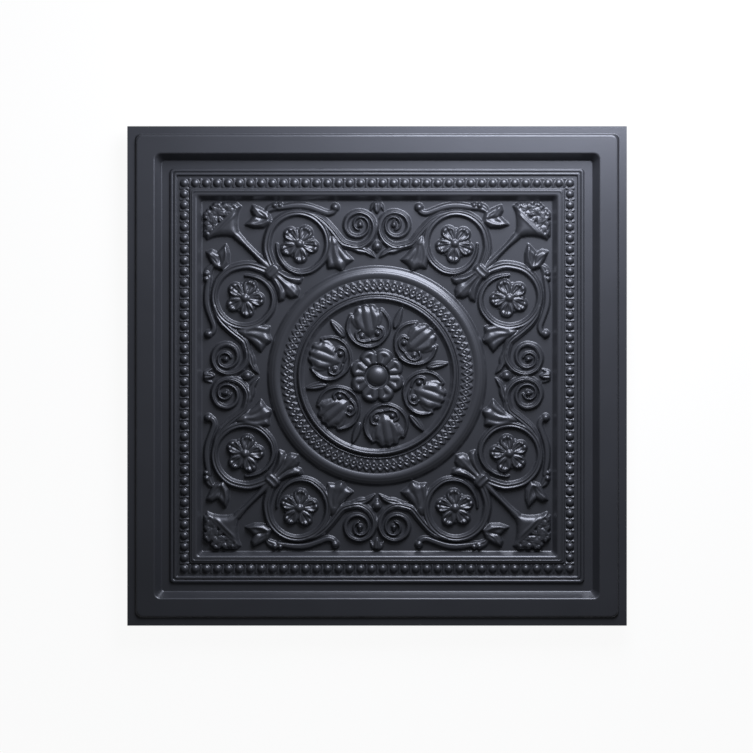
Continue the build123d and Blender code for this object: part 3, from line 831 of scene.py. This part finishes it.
def square_loops(d, radius):
    """Points of rounded squares, one row per distance from the edge, and the direction outwards: each
    quarter is an arc about the corner's centre and a straight run to the next one."""
    half = (TILE_HALF - d)[:, None]
    radius = np.asarray(radius, float)[:, None]
    arc = np.linspace(0, np.pi / 2, CORNER_STEPS + 1)
    out_x = np.r_[np.cos(arc), np.zeros(SIDE_STEPS - 1)]
    out_y = np.r_[np.sin(arc), np.ones(SIDE_STEPS - 1)]
    run = np.r_[np.ones(CORNER_STEPS + 1), 1 - 2 * np.arange(1, SIDE_STEPS) / SIDE_STEPS]
    x = (half - radius) * run + radius * out_x
    y = (half - radius) + radius * out_y
    turns = [quarter_turn(turn) for turn in range(4)]
    xs, ys = [c * x - s * y for c, s in turns], [s * x + c * y for c, s in turns]
    nx, ny = [c * out_x - s * out_y for c, s in turns], [s * out_x + c * out_y for c, s in turns]
    return closed_row(xs), closed_row(ys), closed_row(nx), closed_row(ny)


def moulding(name, corners, plan_radii):
    """A moulding: the rounded section carried round the square, and its back one sheet behind it."""
    d, z, lean, up = rounded_section(corners)
    x, y, out_x, out_y = square_loops(d, np.interp(d, *np.array(plan_radii, float).T))
    normal = np.dstack([-lean[:, None] * out_x, -lean[:, None] * out_y, up[:, None] * np.ones_like(x)])
    face = (x, y, z[:, None] * np.ones_like(x))
    back = [net - SHEET * normal[..., k] for k, net in enumerate(face)]
    sheet_piece(name, face, normal, back, stride=1, ring=True)


# %% Band, wall and ridges
LIP_LEVEL, BAND_LEVEL, LEDGE_LEVEL, RIDGE_LEVEL = 19.8, 22.8 - 0.05, 7.8, 10.4
CHANNEL_START, CHANNEL_END = 62.0, 74.0

moulding(
    "outer_border",
    [(0, LIP_LEVEL, 0), (9.4, LIP_LEVEL, 1.0), (11.0, BAND_LEVEL, 2.6), (32.9, BAND_LEVEL, 2.2),
     (40.6, LEDGE_LEVEL, 1.6), (50.8, LEDGE_LEVEL, 0.4), (51.2, RIDGE_LEVEL, 1.7), (54.7, RIDGE_LEVEL, 1.7),
     (55.1, 8.4, 0.3), (55.5, RIDGE_LEVEL, 1.7), (59.0, RIDGE_LEVEL, 1.7), (59.4, LEDGE_LEVEL, 0.4),
     (CHANNEL_START, LEDGE_LEVEL, 0)],
    [(0, 0.5), (9, 7), (33, 8), (40.8, 3.5), (50.8, 4.5), (59.4, 1.5), (61.4, 0.3), (CHANNEL_START, 0.05)],
)

# %% Rim and wall down to the field
FIELD_LEVEL, RIM_LEVEL = 0.8, 9.8
FIELD_START = TILE_HALF - FIELD_HALF

moulding(
    "inner_border",
    [(CHANNEL_END, LEDGE_LEVEL, 0), (74.6, LEDGE_LEVEL, 0.3), (75.1, RIM_LEVEL, 0.7), (76.8, RIM_LEVEL, 0.2),
     (77.2, RIM_LEVEL + 0.9, 0.5), (78.6, RIM_LEVEL + 0.9, 0.5), (79.0, RIM_LEVEL, 0.2),
     (83.2, RIM_LEVEL, 3.6), (88.9, FIELD_LEVEL, 2.6), (FIELD_START, FIELD_LEVEL, 0)],
    [(CHANNEL_END, 0.05), (74.6, 2), (83, 4), (89, 2.5), (FIELD_START, 0.05)],
)

# %% [markdown]
# ## The bead row
# In the channel lies a row of round beads with a thin bar across the channel between each two. There is a
# bead in each corner of the square, so the pitch is the side divided by a whole number. One net runs round
# the channel, and the height formula repeats itself by the distance to the nearest bead.

# %% Mesh the bead channel
BEAD_HALF = 233.45
BEADS_PER_SIDE = 35
BEAD_PITCH = 2 * BEAD_HALF / BEADS_PER_SIDE
BEAD_RADIUS, BEAD_HEIGHT = 4.9, 3.9
BAR_HEIGHT, BAR_WIDTH, BAR_REACH = 1.5, 0.95, 5.6
CELLS_PER_BEAD, CHANNEL_ROWS = 15, 16


def bead_height(x, y):
    """Channel floor, domes at each pitch along the middle line, and bars half a pitch from them."""
    ax, ay = np.abs(x), np.abs(y)
    out, across = np.maximum(ax, ay) - BEAD_HALF, np.minimum(ax, ay)
    place = across / BEAD_PITCH - 0.5
    step = (place - np.round(place)) * BEAD_PITCH
    far = np.hypot(step, out) / BEAD_RADIUS
    bead = BEAD_HEIGHT * np.clip(1 - far**2, 0, 1) ** 0.55
    bar_step = (place + 0.5 - np.round(place + 0.5)) * BEAD_PITCH
    bar = BAR_HEIGHT * np.exp(-((bar_step / BAR_WIDTH) ** 2)) * np.clip((BAR_REACH - np.abs(out)) / 0.8, 0, 1)
    return LEDGE_LEVEL + np.maximum(bead, bar * (across < BEAD_HALF - 3))


t = np.linspace(-1, 1, BEADS_PER_SIDE * CELLS_PER_BEAD + 1)[:-1]
half = np.linspace(TILE_HALF - CHANNEL_START, TILE_HALF - CHANNEL_END, CHANNEL_ROWS)[:, None]
one = np.ones_like(t)
x = closed_row([half * run for run in (one, -t, -one, t)])
y = closed_row([half * run for run in (t, one, -t, -one)])
relief_piece("bead_channel", x, y, partial(from_formula, bead_height, 0.3), ring=True)

# %% [markdown]
# ## Black satin plastic
# The sheet is black PVC with a satin skin. Such a skin is not even: the mould leaves a very fine grain, and
# the warm sheet shines a little more where it was pulled over an edge. A picture of plastic could be wrapped
# on it, but noise in the object's own coordinates needs no unwrapping. A node group gives the grain and the
# slow change in gloss, and both sides of the sheet use it with their own values.

# %% Helpers for nodes
def preset(node, values):
    """The node, after its inputs have taken the values, each given under its name or number."""
    for name, value in values.items():
        node.inputs[name].default_value = value
    return node


def math_node(tree, operation, *values):
    """The output of a Math node whose inputs are numbers or the outputs of other nodes."""
    node = tree.nodes.new("ShaderNodeMath")
    node.operation = operation
    for socket, value in zip(node.inputs, values):
        if isinstance(value, float):
            socket.default_value = value
        else:
            tree.links.new(value, socket)
    return node.outputs[0]


# %% A node group for the grain of formed sheet
def sheet_grain_group():
    """Roughness is the gloss plus the spread times a slow noise about nothing. Height is a fine noise."""
    group = bpy.data.node_groups.new("sheet_grain", "ShaderNodeTree")
    for name, value in (("Scale", 900.0), ("Gloss", 0.36), ("Spread", 0.1)):
        socket = group.interface.new_socket(name=name, in_out="INPUT", socket_type="NodeSocketFloat")
        socket.default_value = value
    for name in ("Roughness", "Height", "Tint"):
        group.interface.new_socket(name=name, in_out="OUTPUT", socket_type="NodeSocketFloat")
    nodes, links = group.nodes, group.links
    inputs, outputs = nodes.new("NodeGroupInput"), nodes.new("NodeGroupOutput")
    place = nodes.new("ShaderNodeTexCoord")
    fine = preset(nodes.new("ShaderNodeTexNoise"), {"Detail": 2.0})
    slow = preset(nodes.new("ShaderNodeTexNoise"), {"Scale": 14.0, "Detail": 3.0})
    for noise in (fine, slow):
        links.new(place.outputs["Object"], noise.inputs["Vector"])
    links.new(inputs.outputs["Scale"], fine.inputs["Scale"])
    centred = math_node(group, "SUBTRACT", slow.outputs["Fac"], 0.5)
    gloss = math_node(group, "MULTIPLY_ADD", centred, inputs.outputs["Spread"], inputs.outputs["Gloss"])
    links.new(gloss, outputs.inputs["Roughness"])
    links.new(fine.outputs["Fac"], outputs.inputs["Height"])
    links.new(slow.outputs["Fac"], outputs.inputs["Tint"])
    return group


SHEET_GRAIN = sheet_grain_group()
print("group", SHEET_GRAIN.name, "with", len(SHEET_GRAIN.nodes), "nodes")

# %% [markdown]
# ## Two finishes of the same sheet
# The face has taken the mould's fine skin, and the back kept the coarser one of the rolled sheet. Both are
# a near black that drifts a little between two tones, under a thin clear coat, with the grain as a bump.

# %% Finishes for the face and the back
GRAIN_DEPTH = 0.0001


def satin_sheet(name, dark, light, gloss, spread, grain_scale):
    """A dielectric whose colour drifts between two near blacks and whose bump is the grain."""
    material = bpy.data.materials.new(name)
    material.use_nodes = True
    nodes, links = material.node_tree.nodes, material.node_tree.links
    shader = preset(nodes["Principled BSDF"], {
        "IOR": 1.53, "Specular Tint": (0.86, 0.89, 1.0, 1), "Coat Weight": 0.35, "Coat Roughness": 0.22})
    grain = nodes.new("ShaderNodeGroup")
    grain.node_tree = SHEET_GRAIN
    preset(grain, {"Scale": grain_scale, "Gloss": gloss, "Spread": spread})
    tint = nodes.new("ShaderNodeMix")
    tint.data_type = "RGBA"
    preset(tint, {6: (*dark, 1), 7: (*light, 1)})
    bump = preset(nodes.new("ShaderNodeBump"), {"Strength": 0.35, "Distance": GRAIN_DEPTH})
    links.new(grain.outputs["Tint"], tint.inputs[0])
    links.new(tint.outputs[2], shader.inputs["Base Color"])
    links.new(grain.outputs["Roughness"], shader.inputs["Roughness"])
    links.new(grain.outputs["Height"], bump.inputs["Height"])
    links.new(bump.outputs["Normal"], shader.inputs["Normal"])
    return material


finishes = (
    satin_sheet("black_satin_face", dark=(0.019, 0.020, 0.023), light=(0.025, 0.026, 0.030),
                gloss=0.42, spread=0.06, grain_scale=900),
    satin_sheet("black_plain_back", dark=(0.021, 0.021, 0.023), light=(0.027, 0.027, 0.029),
                gloss=0.42, spread=0.16, grain_scale=500),
)
for piece in pieces:
    for finish in finishes:
        piece.data.materials.append(finish)
    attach(piece, "root")
    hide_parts("ceiling_tile")
print(len(pieces), "pieces of sheet,", sum(len(p.data.polygons) for p in pieces), "faces")

# %% [markdown]
# ## Floor
# The tile lies on a plain white floor. A camera ray, and a ray that is mirrored or passes through glass,
# sees the floor lit by itself as well, so that it reads as white paper and keeps the tile's soft shadow.
# The floor lies half a millimetre below the tile, because faces at one height would flicker.

# %% A pale floor
FLOOR_SIZE, FLOOR_GAP = 12, 0.0005
WHITE_SHARE = 0.94

bpy.ops.mesh.primitive_plane_add(size=FLOOR_SIZE, location=(0, 0, -FLOOR_GAP))
floor = bpy.context.object
floor.name = "floor"
paper = bpy.data.materials.new("white_paper")
paper.use_nodes = True
nodes, links = paper.node_tree.nodes, paper.node_tree.links
skin = preset(nodes["Principled BSDF"], {
    "Base Color": (0.8, 0.8, 0.8, 1), "Roughness": 0.9, "Specular IOR Level": 0.1})
glow = preset(nodes.new("ShaderNodeEmission"), {"Strength": 1.0})
ray = nodes.new("ShaderNodeLightPath").outputs
mirrored = math_node(paper.node_tree, "MAXIMUM", ray["Is Glossy Ray"], ray["Is Transmission Ray"])
seen = math_node(paper.node_tree, "MAXIMUM", ray["Is Camera Ray"], mirrored)
share = math_node(paper.node_tree, "MULTIPLY", seen, WHITE_SHARE)
mix = nodes.new("ShaderNodeMixShader")
links.new(share, mix.inputs["Fac"])
links.new(skin.outputs["BSDF"], mix.inputs[1])
links.new(glow.outputs["Emission"], mix.inputs[2])
links.new(mix.outputs["Shader"], nodes["Material Output"].inputs["Surface"])
floor.data.materials.append(paper)
print("floor", FLOOR_SIZE, "m wide")

# %% [markdown]
# ## Studio light
# In a product picture of a black satin thing the shape is drawn by reflections. One square soft lamp stands
# near the tile, beyond its upper edge and a little to the right, so that slopes which face it shine and
# slopes which turn away go dark. A sun would do the same with hard edges. The world adds a low even light.

# %% Lamp and world
def soft_lamp(name, place, target, size, power):
    """A square lamp that looks at the target and that the camera doesn't see."""
    data = bpy.data.lights.new(name, "AREA")
    data.shape = "SQUARE"
    data.size = size
    data.energy = power
    data.color = (0.87, 0.90, 1.0)
    lamp = bpy.data.objects.new(name, data)
    lamp.location = place
    bpy.context.scene.collection.objects.link(lamp)
    way = mathutils.Vector(target) - mathutils.Vector(place)
    lamp.rotation_euler = way.to_track_quat("-Z", "Y").to_euler()
    lamp.visible_camera = False
    print("lamp", name, "stands", round(way.length, 2), "m from the tile's middle")


soft_lamp("key", place=(0.21, 0.59, 0.46), target=(0, 0, 0), size=0.5, power=15)
world = bpy.data.worlds.new("studio")
bpy.context.scene.world = world
world.use_nodes = True
preset(world.node_tree.nodes["Background"], {"Color": (0.95, 0.97, 1.0, 1), "Strength": 0.10})

# %% [markdown]
# ## Camera
# The picture looks straight down on the tile. A long lens from five metres keeps the walls of the border
# nearly upright, as in a catalogue picture. The picture is 753 points wide and the tile 499.5 of them, and
# its middle lies a hair off the tile's.

# %% Camera straight above
PICTURE_POINTS, TILE_POINTS = 753, 499.5
VIEW_WIDTH = PICTURE_POINTS * 2 * TILE_HALF / TILE_POINTS * MM
PICTURE_SHIFT = -0.00066
FACE_HEIGHT = 0.02

camera_data = bpy.data.cameras.new("camera")
camera_data.lens = 200
camera_data.sensor_width = 36
camera = bpy.data.objects.new("camera", camera_data)
distance = VIEW_WIDTH * camera_data.lens / camera_data.sensor_width
camera.location = (PICTURE_SHIFT, PICTURE_SHIFT, FACE_HEIGHT + distance)
bpy.context.scene.collection.objects.link(camera)
bpy.context.scene.camera = camera
bpy.context.scene.view_settings.view_transform = "Standard"
print("camera height", round(camera.location.z, 3), "m")
